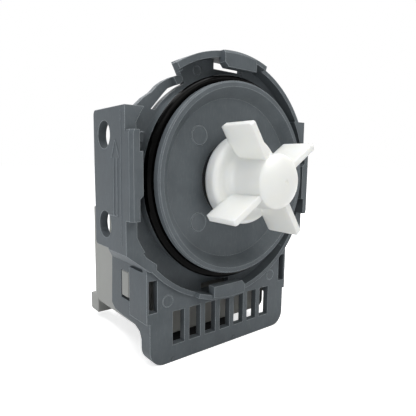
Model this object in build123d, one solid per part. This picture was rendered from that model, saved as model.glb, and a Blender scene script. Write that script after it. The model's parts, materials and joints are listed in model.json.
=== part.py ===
from build123d import *
import os
from math import cos, radians, sin, sqrt

# A dishwasher drain pump with a canned permanent-magnet motor.
# The rotor axis is the Y line through x = z = 0. The impeller points to -Y, towards the sump,
# and y = 0 is the front edge of the round spigot. +Z is up. Sizes are in millimetres.

# Spigot, cup and O-ring groove
rim_r = 32.5
rim_round = 0.5
rim_wall = 2.4
cup_taper = 2.4
cup_depth = 3.9
cup_floor_t = 2.8
cup_floor_chamfer = 0.5
groove_depth = 1.2
groove_front = 2.8
groove_wall = 2.3
o_ring_section = 3.5
o_ring_seat_clearance = 0.05
o_ring_side_clearance = 0.1
shoulder_step = 1.7
shoulder_wall = 1.0

# Flange, collar and the ears at its left and right
flange_front = 10.0
flange_t = 2.5
flange_w = 10.1
collar_wall = 1.6
collar_front = 5.6
ear_cut = 2.3
ear_angle = 30.94
ear_front = 5.6
ear_bore_step = 2.2

# Bayonet lugs, drawn for the top one and turned in quarter turns
lug_front = 2.3
lug_t = 3.2
lug_left = 5.6
lug_right = 8.8
lug_end = 6.1
lug_end_front_top = 3.2
lug_end_wall_side = 3.0
lug_end_angle = 20.5
lug_gap_side = 3.7
lug_gap_top = 4.4
lug_wall = 2.4
lug_corner = 1.5
lug_edge = 1.0
lug_window_inset = 1.3
lug_window_rise = 0.5
hood_front = 4.8
hood_wall = 2.1
hood_end = 122.4
hood_end_wall = 3.0
hood_end_back = 8.0
plate_end = 118.0

# Latch arm at the upper left: points as (angle, distance outside the collar's rim)
arm_end_angle = 150.0
arm_nose_front = 8.5
arm_nose_angle = 124.0
arm_points = [
    (149.5, -1.0),
    (141.7, -2.2),
    (136.7, -3.1),
    (131.5, -3.0),
    (128.1, -3.2),
    (123.3, -3.7),
    (120.6, -4.1),
    (119.5, -4.9),
    (119.5, -5.9),
    (120.7, -6.5),
    (122.5, -6.6),
    (125.1, -6.3),
    (128.7, -5.8),
    (132.2, -6.0),
    (144.5, -6.1),
]

# Drilled side bracket
bracket_front = 8.3
bracket_back = 27.5
bracket_t = 3.7
bracket_skin = 2.0
bracket_rim = 2.0
bracket_corner_r = 1.5
bracket_hole_d = 8.8
bracket_boss_wall = 1.8
bracket_hole_y = 19.8
bracket_hole_upper_z = 13.9
bracket_hole_lower_z = -14.4
groove_line_w = 0.7
groove_line_depth = 0.5

# Apron below the collar
apron_front = 6.85
apron_t = 2.5
apron_step = 1.1
apron_step_drop = 18.5
apron_top_drop = 5.8
apron_bottom_gap = 0.7
apron_corner_r = 5.5
apron_rim_back = 12.4
apron_body_gap = 2.5
side_wall_t = 1.9
side_wall_back = 33.8
side_wall_h = 21.2
side_block_back = 18.5
side_block_gap = 0.8
latch_window_front = 20.0
latch_window_back = 26.7
latch_window_drop = 4.5
latch_window_h = 10.2
slot_count = 7
slot_pitch = 6.86
slot_w = 4.8
slot_top_gap = 1.15
slot_bottom_edge = 5.9
tall_slot_inset = 2.3
tall_slot_w = 3.2
tall_slot_drop = 4.2
tall_slot_h = 10.8
ledge_t = 2.2
ledge_drop = 0.9
ledge_cut_back = 5.0

# Rotor can, on the back of the cup
can_inner_r = 12.0
can_wall = 1.5
can_end_t = 1.6
pocket_wall = 1.6
pocket_end_t = 1.2
pocket_gap = 0.6
pocket_cover_gap = 0.8
seat_wall = 1.6
seat_gap = 1.5

# Shaft, bushes and rotor
shaft_r = 2.0
shaft_chamfer = 0.4
bush_clearance = 0.03
bush_wall = 2.5
bush_len = 6.0
sleeve_wall = 1.7
front_bush_gap = 2.7
bush_seat_depth = 1.8
bush_overhang = 0.2
carrier_flange_w = 1.4
carrier_flange_t = 2.0
carrier_boss_h = 0.6
carrier_boss_inset = 2.4
magnet_gap = 0.8
magnet_overhang = 1.0
magnet_shift = 2.0
magnet_chamfer = 0.6
rotor_core_r = 5.0
rotor_hub_r = 3.4
rotor_plate_step = 1.6
rotor_plate_t = 1.0
washer_r = 3.9
washer_t = 0.8
washer_clearance = 0.1
axial_play = 0.15

# Impeller and its dog clutch
vane_count = 4
vane_angle = 33.5
vane_tip_r = 20.9
vane_t = 2.0
vane_front = -16.9
vane_back = -3.9
vane_corner_r = 0.8
hub_disc_r = 14.9
hub_disc_front = -4.5
hub_disc_back = 0.5
hub_edge_r = 1.8
hub_skirt_t = 1.6
hub_floor_t = 2.2
nose_wall = 1.7
nose_taper = 0.5
nose_root = -9.4
nose_tip = -20.4
nose_round = 3.6
shoulder_curve_r = 6.5
dimple_r = 1.4
dimple_depth = 0.3
clutch_r = 6.9
clutch_front = -13.0
clutch_cap_front = -2.0
clutch_hub_r = 4.0
clutch_wing_angle = 36.0
damper_angle = 6.0
clutch_clearance = 0.3
shaft_nose_len = 1.6
shaft_nose_gap = 0.6

# Stator core, bobbins and coils
core_t = 22.0
pole_t = 5.1
pole_step = 2.0
pole_gap = 5.0
yoke_h = 8.4
leg_w = 9.0
core_clearance = 0.2
bobbin_wall = 1.0
bobbin_rim = 0.3
bobbin_h = 16.2
bobbin_gap = 2.0
bobbin_corner_r = 3.0
coil_build = 6.0
coil_corner_r = 4.0
core_rivet_r = 1.5
core_rivet_rim = 0.8
core_rivet_head_t = 0.7
cutout_w = 9.0
cutout_len = 15.0
cutout_t = 5.5
cutout_round = 1.5

# Stator housing and rear cover
body_front = 14.0
body_wall = 1.6
body_corner_r = 3.0
body_shoulder_drop = 7.2
body_coil_gap = 0.7
body_front_gap = 1.9
body_back_gap = 0.5
bobbin_top_gap = 0.8
shoulder_overlap = 4.0
cover_t = 2.8
cover_lip_len = 2.0
cover_lip_t = 1.4
fit_clearance = 0.15
nose_gap = 0.3
nose_chamfer = 1.6
foot_w = 7.0
foot_back_len = 7.8
foot_front_len = 0.5
foot_rise = 3.4
foot_drop = 3.9
foot_round = 1.0
post_top_z = -13.4
post_w = 2.0
pad_x = 21.0
pad_w = 7.0
pad_h = 5.0
pad_inset = 3.1
boss_root = 1.0

# Screws and terminals
ear_screw_angle = 23.57
ear_screw_inset = 1.0
ear_screw_r = 1.5
ear_screw_head_r = 3.2
ear_screw_len = 5.4
ear_boss_r = 3.6
ear_plate_t = 3.0
ear_web_start = 12.0
ear_web_end = 38.0
ear_web_root = 0.5
cover_screw_r = 1.25
cover_screw_head_r = 2.4
cover_boss_r = 3.0
cover_boss_extra = 3.0
cover_screw_side = 4.3
cover_screw_rise = 7.0
cover_screw_top_gap = 2.0
top_lug_rim = 0.8
thread_bite = 0.2
screw_head_t = 2.0
screw_head_chamfer = 0.5
screw_len = 9.0
block_left = -20.0
block_right = 12.0
block_h = 5.6
block_setback = 1.5
block_len = 20.5
block_wall = 1.1
block_bridge_t = 2.2
block_corner_r = 1.2
terminal_left_x = -12.0
terminal_right_x = 4.0
terminal_w = 6.3
terminal_t = 0.8
terminal_setback = 3.9
terminal_slit_clearance = 0.1
terminal_foot_len = 4.0
terminal_end_gap = 2.0

# Radii of the spigot and the flange
cup_mouth_r = rim_r - rim_wall
cup_floor_r = cup_mouth_r - cup_taper
groove_r = rim_r - groove_depth
spigot_bore_r = groove_r - groove_wall
shoulder_r = rim_r + shoulder_step
flange_core_r = shoulder_r + shoulder_wall
collar_r = rim_r + flange_w
lug_reach_side = rim_r + lug_gap_side
lug_reach_top = rim_r + lug_gap_top
ear_x = collar_r - ear_cut
ear_z = collar_r * sin(radians(ear_angle))
ear_bore_r = collar_r - ear_bore_step
hood_r = collar_r - hood_wall
ear_screw_pitch_r = spigot_bore_r + ear_screw_inset
ear_screw_x = ear_screw_pitch_r * cos(radians(ear_screw_angle))
ear_screw_z = ear_screw_pitch_r * sin(radians(ear_screw_angle))

# Depths of the groove, the cup and the flange
flange_back = flange_front + flange_t
groove_back = groove_front + o_ring_section + 2 * o_ring_side_clearance
o_ring_centre_r = groove_r + o_ring_seat_clearance + o_ring_section / 2
o_ring_y = (groove_front + groove_back) / 2
cup_floor_back = cup_depth + cup_floor_t

# Radii round the rotor
bush_r = shaft_r + bush_wall
sleeve_r = bush_r + sleeve_wall
magnet_r = can_inner_r - magnet_gap
carrier_flange_r = can_inner_r + carrier_flange_w
carrier_boss_r = can_inner_r - carrier_boss_inset
can_r = can_inner_r + can_wall
core_bore_r = can_r + core_clearance
core_r = core_bore_r + pole_t
body_arch_r = core_r + core_clearance + body_wall
nose_r = clutch_r + nose_wall

# Plan of the bobbins, the legs and the body
tube_margin = core_clearance + bobbin_wall
bobbin_margin = tube_margin + coil_build + bobbin_rim
leg_inner_x = bobbin_margin + bobbin_gap / 2
leg_outer_x = leg_inner_x + leg_w
body_half_x = leg_outer_x + bobbin_margin + body_coil_gap + body_wall
apron_low_x = body_half_x + apron_body_gap + side_wall_t
apron_x = apron_low_x + apron_step

# Depths from the stator to the rear cover
core_front = body_front + body_wall + body_front_gap + bobbin_margin
core_back = core_front + core_t
cover_front = core_back + bobbin_margin + body_back_gap + cover_lip_len
cover_back = cover_front + cover_t
magnet_len = core_t + 2 * magnet_overhang
magnet_front = core_front - magnet_overhang - magnet_shift
magnet_back = magnet_front + magnet_len
pocket_end = cover_front - pocket_cover_gap
pocket_back = pocket_end - pocket_end_t
shaft_front = clutch_front - shaft_nose_len
shaft_back = pocket_back - pocket_gap
front_bush_front = cup_depth + front_bush_gap
rear_bush_front = shaft_back + bush_overhang - bush_len
can_back = rear_bush_front + bush_seat_depth
can_end = can_back + can_end_t
foot_front = cover_front + foot_front_len
foot_back = cover_front + foot_back_len
block_front = body_front + block_setback
block_back = block_front + block_len
terminal_y = block_front + terminal_setback

# Heights of the stator, the body and the apron
body_shoulder_z = -core_r - body_shoulder_drop
bobbin_top_z = body_shoulder_z - body_wall - bobbin_top_gap
coil_bottom_z = bobbin_top_z - bobbin_h
core_bottom_z = coil_bottom_z - core_clearance - yoke_h
body_bottom_z = core_bottom_z - core_clearance - body_wall
block_bottom_z = body_bottom_z - block_h
terminal_z = (block_bottom_z + block_wall + body_bottom_z) / 2 - terminal_t / 2
foot_top_z = body_bottom_z + foot_rise
foot_bottom_z = body_bottom_z - foot_drop
cover_screw_low_x = body_half_x - cover_screw_side
cover_screw_low_z = body_bottom_z + cover_screw_rise
cover_screw_top_z = body_arch_r + cover_screw_top_gap
apron_top_z = -ear_z - apron_top_drop
apron_step_z = apron_top_z - apron_step_drop
apron_bottom_z = block_bottom_z - apron_bottom_gap
side_wall_low_z = apron_top_z - side_wall_h
latch_window_top = apron_top_z - latch_window_drop
latch_window_bottom = latch_window_top - latch_window_h
slot_top_z = -collar_r - slot_top_gap
slot_bottom_z = apron_bottom_z + slot_bottom_edge
tall_slot_x = apron_x - tall_slot_inset
tall_slot_top_z = apron_top_z - tall_slot_drop
tall_slot_bottom_z = tall_slot_top_z - tall_slot_h
ledge_bottom_z = apron_top_z - ledge_drop


def along_y(outline, front, back):
    """A prism of an outline drawn in x and z, from y = front to y = back."""
    return extrude(Plane.XZ.offset(-back) * outline, amount=back - front)


def along_x(outline, left, right):
    """A prism of an outline drawn in y and z, from x = left to x = right."""
    return extrude(Plane.YZ.offset(left) * outline, amount=right - left)


def along_z(outline, low, high):
    """A prism of an outline drawn in x and y, from z = low to z = high."""
    return extrude(Plane.XY.offset(low) * outline, amount=high - low)


def turned(points):
    """A body of revolution about the rotor axis, from corners given as (radius, y)."""
    return revolve(make_face(Polyline(*points, close=True)), Axis.Y)


def ring(inner, outer, front, back):
    """A plain ring or tube about the rotor axis."""
    return along_y(Circle(outer) - Circle(inner), front, back)


def disc(radius, front, back):
    """A plain round body about the rotor axis."""
    return along_y(Circle(radius), front, back)


def box_between(left, low, right, high):
    """A rectangle from its lower left to its upper right corner."""
    return Pos((left + right) / 2, (low + high) / 2) * Rectangle(right - left, high - low)


def outline(points):
    """A face with straight sides through the given corners."""
    return make_face(Polyline(*points, close=True))


def wedge(start, end, reach):
    """A slice of the plane between two angles, under half a turn apart."""
    middle = (start + end) / 2
    corners = [(reach * cos(radians(a)), reach * sin(radians(a))) for a in (start, middle, end)]
    return outline([(0, 0)] + corners)


def ring_sector(inner, outer, start, end):
    """The part of a flat ring between two angles."""
    return (Circle(outer) - Circle(inner)) & wedge(start, end, 2 * outer)


# Front housing


def spigot_and_can():
    """Spigot with its cup, the O-ring groove, and the rotor can closed at the back."""
    seat_r = body_arch_r - body_wall - seat_gap
    carrier_seat_r = carrier_flange_r + fit_clearance
    carrier_back = cup_depth + carrier_flange_t
    rib_root = cup_floor_back + carrier_boss_h
    return turned(
        [
            (cup_mouth_r + rim_round, 0),
            (rim_r - rim_round, 0),
            (rim_r, rim_round),
            (rim_r, groove_front),
            (groove_r, groove_front),
            (groove_r, groove_back),
            (shoulder_r, groove_back),
            (shoulder_r, flange_front),
            (flange_core_r, flange_front),
            (flange_core_r, flange_back),
            (spigot_bore_r, flange_back),
            (spigot_bore_r - 1.5, cup_floor_back),
            (seat_r, cup_floor_back),
            (seat_r, body_front),
            (seat_r - seat_wall, body_front),
            (seat_r - seat_wall, rib_root),
            (can_r, rib_root),
            (can_r, can_end),
            (sleeve_r + pocket_wall, can_end),
            (sleeve_r + pocket_wall, pocket_end),
            (0, pocket_end),
            (0, pocket_back),
            (sleeve_r, pocket_back),
            (sleeve_r, can_back),
            (can_inner_r, can_back),
            (can_inner_r, carrier_back),
            (carrier_seat_r, carrier_back),
            (carrier_seat_r, cup_depth),
            (cup_floor_r - cup_floor_chamfer, cup_depth),
            (cup_floor_r, cup_depth - cup_floor_chamfer),
            (cup_mouth_r, rim_round),
        ]
    )


def ear_outline():
    """The rectangle that squares off the flange at the left and right."""
    return Rectangle(2 * ear_x, 2 * ear_z)


def flange_outline():
    """Round flange cut off at the ears, with their square corners."""
    return (Circle(collar_r) & Rectangle(2 * ear_x, 4 * collar_r)) + ear_outline()


def arm_gap():
    """The part of the flange that the latch arm takes the place of."""
    above_ear = Pos(0, ear_z + collar_r) * Rectangle(4 * collar_r, 2 * collar_r)
    return ring_sector(flange_core_r, 2 * collar_r, plate_end, arm_end_angle) & above_ear


def flange_and_collar():
    """Flange plate with the raised collar, ears and hood."""
    shape = flange_outline() - arm_gap()
    core = Circle((shoulder_r + flange_core_r) / 2)
    plate = along_y(shape - core, flange_front, flange_back)
    collar = along_y(shape - Circle(collar_r - collar_wall), collar_front, flange_front)
    ears = along_y((ear_outline() & shape) - Circle(ear_bore_r), ear_front, flange_front)
    hood = along_y(ring_sector(hood_r, collar_r, 90, plate_end), hood_front, flange_front)
    overhang = ring_sector(hood_r, collar_r, plate_end - 1, hood_end)
    hood += along_y(overhang, hood_front, hood_end_back)
    end_wall = ring_sector(collar_r - hood_end_wall, collar_r, hood_end - 2, hood_end)
    hood += along_y(end_wall, hood_front + 1, hood_end_back)
    return plate + collar + ears + hood


def lug_parts(turn):
    """One bayonet lug: a lip at the front, its wall, and the moulding window behind the lip."""
    at_side = turn in (90, 270)
    reach = lug_reach_side if at_side else lug_reach_top
    wall_inner = (ear_x if at_side else collar_r) - lug_wall
    top = 2 * collar_r
    mask = Circle(collar_r) & Rectangle(2 * ear_x, 4 * collar_r)
    span = outline(
        [
            (-lug_left, top),
            (-lug_left, reach + lug_corner),
            (lug_corner - lug_left, reach),
            (lug_right, reach),
            (lug_right, top),
        ]
    )
    wall = box_between(-lug_left, wall_inner, lug_right, top)
    if at_side:
        end_inner = ear_x - lug_end_wall_side
        ends = box_between(-lug_left - lug_end, end_inner, lug_right + lug_end, top)
        end_front = lug_front
    else:
        ends = ring_sector(collar_r - collar_wall, collar_r, 90 - lug_end_angle, 90)
        end_front = lug_end_front_top
    lip_solid = along_y((Rot(0, 0, turn) * span) & mask, lug_front, lug_front + lug_t)
    end_solid = along_y((Rot(0, 0, turn) * (ends - span)) & mask, end_front, flange_front)
    wall_solid = along_y((Rot(0, 0, turn) * wall) & mask, lug_front, flange_front)
    opening = box_between(
        lug_window_inset - lug_left, reach + lug_window_rise, lug_right, wall_inner
    )
    window_front = (lug_front + lug_t + flange_front) / 2
    window = along_y(Rot(0, 0, turn) * opening, window_front, flange_back + 1)
    return lip_solid + end_solid + wall_solid, window


def lug_edge_cuts():
    """Material taken off the outer front edges of the lugs, as one cone and two prisms."""
    back = lug_front + lug_edge
    cuts = turned(
        [
            (collar_r - lug_edge, lug_front),
            (collar_r - lug_edge, lug_front - 1),
            (collar_r + 1, lug_front - 1),
            (collar_r + 1, back),
            (collar_r, back),
        ]
    )
    for side in (-1, 1):
        corner = outline(
            [
                (side * (ear_x - lug_edge), lug_front),
                (side * (ear_x - lug_edge), lug_front - 1),
                (side * (ear_x + 1), lug_front - 1),
                (side * (ear_x + 1), back),
                (side * ear_x, back),
            ]
        )
        cuts += along_z(corner, -ear_z, ear_z)
    return cuts


def latch_arm():
    """Springy arm in the plane of the flange plate, with a raised nose at its free end."""
    corners = []
    for angle, outside in arm_points:
        radius = collar_r + outside
        corners.append((radius * cos(radians(angle)), radius * sin(radians(angle))))
    arm = outline(corners)
    nose = arm & wedge(plate_end, arm_nose_angle, 2 * collar_r)
    return along_y(arm, flange_front, flange_back) + along_y(nose, arm_nose_front, flange_back)


def side_bracket():
    """Drilled plate at the left, dished on its inner side round two bosses."""
    side = box_between(collar_front, -ear_z, bracket_back, ear_z)
    side = fillet(side.vertices().sort_by(Axis.X)[-2:], bracket_corner_r)
    plate = along_x(side, -ear_x, -ear_x + bracket_t)
    dish = box_between(
        flange_back, -ear_z + bracket_rim, bracket_back - bracket_rim, ear_z - bracket_rim
    )
    holes = Sketch()
    bosses = Sketch()
    for z in (bracket_hole_upper_z, bracket_hole_lower_z):
        holes += Pos(bracket_hole_y, z) * Circle(bracket_hole_d / 2)
        bosses += Pos(bracket_hole_y, z) * Circle(bracket_hole_d / 2 + bracket_boss_wall)
    plate -= along_x(dish - bosses, -ear_x + bracket_skin, 0)
    plate -= along_x(holes, -ear_x - 1, 0)
    line = box_between(bracket_front - groove_line_w, -ear_z - 1, bracket_front, ear_z + 1)
    plate -= along_x(line, -ear_x - 1, -ear_x + groove_line_depth)
    return plate


def apron_outline():
    """Front view of the apron, narrower below the step, with its lower corners rounded."""
    upper = box_between(-apron_x, apron_step_z, apron_x, apron_top_z)
    lower = box_between(-apron_low_x, apron_bottom_z, apron_low_x, apron_step_z)
    low_corners = lower.vertices().sort_by(Axis.Y)[:2]
    return upper + fillet(low_corners, apron_corner_r)


def apron_slots():
    """The row of upright slots and the tall slot near each side."""
    slots = Sketch()
    for k in range(slot_count):
        x = (k - (slot_count - 1) / 2) * slot_pitch
        slots += box_between(x - slot_w / 2, slot_bottom_z, x + slot_w / 2, slot_top_z)
    for side in (-1, 1):
        x = side * tall_slot_x
        half = tall_slot_w / 2
        slots += box_between(x - half, tall_slot_bottom_z, x + half, tall_slot_top_z)
    return slots


def apron():
    """Slotted front plate with a shallow rim, and a deep wall with a latch window at each side."""
    shape = apron_outline()
    plate = along_y(shape - Circle(collar_r - collar_wall), apron_front, apron_front + apron_t)
    rim = shape - offset(apron_outline(), -side_wall_t)
    rim -= box_between(-2 * apron_x, apron_top_z - side_wall_t, 2 * apron_x, 0)
    body = plate + along_y(rim, apron_front, apron_rim_back)
    low = side_wall_low_z
    deep = outline(
        [
            (apron_front, apron_top_z),
            (side_wall_back, apron_top_z - 1),
            (side_wall_back + 0.8, low + 2.3),
            (side_wall_back - 1.8, low + 0.5),
            (side_wall_back - 6.8, low),
            (apron_rim_back + 4.6, low - 0.3),
            (apron_rim_back + 1.2, low - 1.8),
            (apron_rim_back, low - 4),
            (apron_front, low - 4),
        ]
    )
    window = box_between(
        latch_window_front, latch_window_bottom, latch_window_back, latch_window_top
    )
    block_top = ledge_bottom_z - side_block_gap
    block = box_between(apron_front, apron_step_z, side_block_back, block_top)
    walls = deep - window
    body += along_x(walls, apron_low_x - side_wall_t, apron_low_x)
    body += along_x(walls, -apron_low_x, -apron_low_x + side_wall_t)
    body += along_x(block, apron_low_x - 0.1, apron_x)
    body += along_x(block, -apron_x, -apron_low_x + 0.1)
    return body - along_y(apron_slots(), 0, apron_rim_back)


def ledge():
    """Sloping web between the lower edge of the side bracket and the apron's side wall."""
    inner_x = -apron_low_x + side_wall_t
    slope = outline(
        [
            (-ear_x, -ear_z),
            (-ear_x, -ear_z - 0.4),
            (-apron_low_x - 0.6, ledge_bottom_z),
            (inner_x, ledge_bottom_z),
            (inner_x, ledge_bottom_z + ledge_t),
            (-ear_x + bracket_t, -ear_z + 0.6),
            (-ear_x + bracket_t, -ear_z),
        ]
    )
    web = along_y(slope, collar_front, side_wall_back)
    cut_front = side_wall_back - 0.2
    plan = outline(
        [
            (-ear_x - 1, bracket_hole_y - 2),
            (-ear_x, bracket_hole_y - 2),
            (-apron_low_x, cut_front),
            (inner_x + 1, cut_front),
            (inner_x + 1, cut_front + ledge_cut_back),
            (-ear_x - 1, cut_front + ledge_cut_back),
        ]
    )
    return web - along_z(plan, ledge_bottom_z - 1, 0)


def mounting_bosses():
    """Screw bosses and rest pads for the stator housing on the back of the flange."""
    pad_z = -sqrt((collar_r - pad_inset) ** 2 - pad_x**2)
    back = Sketch()
    for side in (-1, 1):
        back += Pos(side * ear_screw_x, ear_screw_z) * Circle(ear_boss_r)
        back += Pos(side * pad_x, pad_z) * Rectangle(pad_w, pad_h)
    return along_y(back, flange_back - boss_root, body_front)


def front_housing():
    """The whole blue-grey front moulding."""
    body = spigot_and_can() + flange_and_collar() + side_bracket() + latch_arm()
    windows = []
    for turn in (0, 90, 180, 270):
        lug, window = lug_parts(turn)
        body += lug
        windows.append(window)
    body += apron()
    body += ledge()
    body += mounting_bosses()
    for window in windows:
        body -= window
    body -= lug_edge_cuts()
    for side in (-1, 1):
        pilot = Pos(side * ear_screw_x, ear_screw_z) * Circle(ear_screw_r - thread_bite)
        body -= along_y(pilot, body_front - (ear_screw_len - ear_plate_t) - 0.1, body_front + 1)
    return body


def o_ring():
    """Round rubber ring in the spigot groove."""
    return revolve(Pos(o_ring_centre_r, o_ring_y) * Circle(o_ring_section / 2), Axis.Y)


# Rotor


def rotor_shaft():
    """Ground steel shaft with chamfered ends."""
    return turned(
        [
            (0, shaft_front),
            (shaft_r - shaft_chamfer, shaft_front),
            (shaft_r, shaft_front + shaft_chamfer),
            (shaft_r, shaft_back - shaft_chamfer),
            (shaft_r - shaft_chamfer, shaft_back),
            (0, shaft_back),
        ]
    )


def bush(front):
    """Sintered bush that the shaft turns in."""
    return ring(shaft_r + bush_clearance, bush_r, front, front + bush_len)


def bush_sleeve(front):
    """Rubber sleeve that carries a bush."""
    return ring(bush_r, sleeve_r, front, front + bush_len)


def bearing_carrier():
    """Flanged plastic plug in the mouth of the can, which holds the front bush."""
    body_r = can_inner_r - fit_clearance
    bore_r = shaft_r + carrier_boss_h
    carrier_back = cup_depth + carrier_flange_t
    bush_back = front_bush_front + bush_len
    return turned(
        [
            (bore_r, cup_depth - carrier_boss_h),
            (carrier_boss_r - carrier_boss_h, cup_depth - carrier_boss_h),
            (carrier_boss_r, cup_depth),
            (carrier_flange_r, cup_depth),
            (carrier_flange_r, carrier_back),
            (body_r, carrier_back),
            (body_r, bush_back),
            (sleeve_r, bush_back),
            (sleeve_r, front_bush_front),
            (bore_r, front_bush_front),
        ]
    )


def rotor_magnet():
    """Ring magnet with chamfered edges."""
    return turned(
        [
            (rotor_core_r, magnet_front),
            (magnet_r - magnet_chamfer, magnet_front),
            (magnet_r, magnet_front + magnet_chamfer),
            (magnet_r, magnet_back - magnet_chamfer),
            (magnet_r - magnet_chamfer, magnet_back),
            (rotor_core_r, magnet_back),
        ]
    )


def rotor_core():
    """Plastic sleeve on the shaft that carries the magnet between two end plates."""
    front_face = front_bush_front + bush_len + washer_t + axial_play
    back_face = rear_bush_front - washer_t - axial_play
    plate_r = magnet_r - rotor_plate_step
    return turned(
        [
            (shaft_r, front_face),
            (rotor_hub_r, front_face),
            (rotor_hub_r, magnet_front - rotor_plate_t - 0.6),
            (plate_r, magnet_front - rotor_plate_t),
            (plate_r, magnet_front),
            (rotor_core_r, magnet_front),
            (rotor_core_r, magnet_back),
            (plate_r, magnet_back),
            (plate_r, magnet_back + rotor_plate_t),
            (rotor_hub_r, magnet_back + rotor_plate_t + 0.2),
            (rotor_hub_r, back_face),
            (shaft_r, back_face),
        ]
    )


def thrust_washers():
    """The two washers between the rotor sleeve and the bushes."""
    bore_r = shaft_r + washer_clearance
    front = front_bush_front + bush_len
    back = rear_bush_front - washer_t
    first = ring(bore_r, washer_r, front, front + washer_t)
    return first + ring(bore_r, washer_r, back, back + washer_t)


# Impeller and clutch


def drive_dog():
    """Hub pressed on the shaft, with one wing that drives the impeller."""
    front = clutch_front + clutch_clearance
    back = clutch_cap_front - clutch_clearance
    half = clutch_wing_angle / 2
    wing = ring_sector(
        (shaft_r + clutch_hub_r) / 2, clutch_r - clutch_clearance, -90 - half, -90 + half
    )
    return along_y(Circle(clutch_hub_r) - Circle(shaft_r) + wing, front, back)


def impeller_hub():
    """Hub disc with a hollow back, a rounded shoulder and the thick round nose."""
    bore_r = shaft_r + bush_clearance
    bore_front = shaft_front - shaft_nose_gap
    root_r = nose_r + nose_taper
    edge_back = hub_disc_front + hub_edge_r
    floor = hub_disc_front + hub_floor_t
    tip = Line((0, nose_tip), (nose_r - nose_round, nose_tip))
    tip_round = RadiusArc(
        (nose_r - nose_round, nose_tip), (nose_r, nose_tip + nose_round), -nose_round
    )
    barrel = Line((nose_r, nose_tip + nose_round), (root_r, nose_root))
    shoulder = RadiusArc(
        (root_r, nose_root), (hub_disc_r - hub_edge_r, hub_disc_front), shoulder_curve_r
    )
    edge = RadiusArc(
        (hub_disc_r - hub_edge_r, hub_disc_front), (hub_disc_r, edge_back), -hub_edge_r
    )
    rest = Polyline(
        (hub_disc_r, edge_back),
        (hub_disc_r, hub_disc_back),
        (hub_disc_r - hub_skirt_t, hub_disc_back),
        (hub_disc_r - hub_skirt_t, floor),
        (clutch_r + hub_skirt_t, floor),
        (clutch_r + hub_skirt_t, hub_disc_back),
        (clutch_r, hub_disc_back),
        (clutch_r, clutch_front),
        (bore_r, clutch_front),
        (bore_r, bore_front),
        (0, bore_front),
        (0, nose_tip),
    )
    return revolve(make_face(tip + tip_round + barrel + shoulder + edge + rest), Axis.Y)


def vane(angle):
    """One flat vane with rounded tip corners."""
    blade = box_between(nose_r - 1, vane_front, vane_tip_r, vane_back)
    blade = fillet(blade.vertices().sort_by(Axis.X)[-2:], vane_corner_r)
    plate = extrude(Plane.XY.offset(-vane_t / 2) * blade, amount=vane_t)
    return Rot(0, -angle, 0) * plate


def impeller():
    """Hub with its four vanes and the inner dog of the clutch."""
    body = impeller_hub()
    for k in range(vane_count):
        body += vane(vane_angle + 360.0 / vane_count * k)
    half = clutch_wing_angle / 2
    dog = ring_sector(clutch_hub_r + clutch_clearance, clutch_r + 0.4, 90 - half, 90 + half)
    body += along_y(dog, clutch_front - 0.2, clutch_cap_front)
    return body - Pos(0, nose_tip + dimple_depth - dimple_r, 0) * Sphere(dimple_r)


def impeller_cap():
    """Ring that closes the clutch chamber behind the impeller."""
    return ring(shaft_r + bush_clearance, clutch_r, clutch_cap_front, hub_disc_back)


def clutch_dampers():
    """Rubber pads on both flanks of the impeller's inner dog."""
    pads = Sketch()
    for side in (-1, 1):
        middle = 90 + side * (clutch_wing_angle + damper_angle) / 2
        start = middle - damper_angle / 2
        pads += ring_sector(clutch_hub_r + clutch_clearance, clutch_r, start, start + damper_angle)
    return along_y(pads, clutch_front, clutch_cap_front)


# Stator


def core_outline():
    """U-shaped lamination: two poles round the can, two legs and the yoke."""
    pole_bottom = -sqrt(core_bore_r**2 - leg_inner_x**2) - pole_step
    yoke_top = core_bottom_z + yoke_h
    shape = Circle(core_r) + box_between(-core_r, pole_bottom, core_r, 0)
    shape += box_between(leg_inner_x, core_bottom_z, leg_outer_x, pole_bottom + 1)
    shape += box_between(-leg_outer_x, core_bottom_z, -leg_inner_x, pole_bottom + 1)
    shape += box_between(-leg_outer_x, core_bottom_z, leg_outer_x, yoke_top)
    shape -= Circle(core_bore_r)
    shape -= box_between(-pole_gap / 2, 0, pole_gap / 2, core_r + 1)
    shape -= box_between(-leg_inner_x, yoke_top, leg_inner_x, 0)
    return shape


def rivet_places():
    """Centres of the rivets through the core."""
    leg_x = (leg_inner_x + leg_outer_x) / 2
    return [(-leg_x, core_bottom_z + yoke_h / 2), (leg_x, core_bottom_z + yoke_h / 2)]


def stator_core():
    """The stack of laminations."""
    shape = core_outline()
    for x, z in rivet_places():
        shape -= Pos(x, z) * Circle(core_rivet_r)
    return along_y(shape, core_front, core_back)


def core_rivets():
    """Rivets that hold the stack, with a low head at each end."""
    front = core_front - core_rivet_head_t
    back = core_back + core_rivet_head_t
    rivets = Part()
    for x, z in rivet_places():
        head = Pos(x, z) * Circle(core_rivet_r + core_rivet_rim)
        rivets += along_y(Pos(x, z) * Circle(core_rivet_r), front, back)
        rivets += along_y(head, front, core_front)
        rivets += along_y(head, core_back, back)
    return rivets


def leg_hole(side, margin):
    """Plan of one leg of the core, grown by a margin."""
    left = leg_inner_x if side > 0 else -leg_outer_x
    right = left + leg_w
    return box_between(left - margin, core_front - margin, right + margin, core_back + margin)


def bobbin(side):
    """Spool on one leg of the core, with a flange at each end."""
    flange = leg_hole(side, bobbin_margin)
    flange = fillet(flange.vertices(), bobbin_corner_r)
    spool = along_z(leg_hole(side, tube_margin), coil_bottom_z, bobbin_top_z)
    spool += along_z(flange, coil_bottom_z, coil_bottom_z + bobbin_wall)
    spool += along_z(flange, bobbin_top_z - bobbin_wall, bobbin_top_z)
    return spool - along_z(leg_hole(side, core_clearance), coil_bottom_z - 1, bobbin_top_z + 1)


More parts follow.
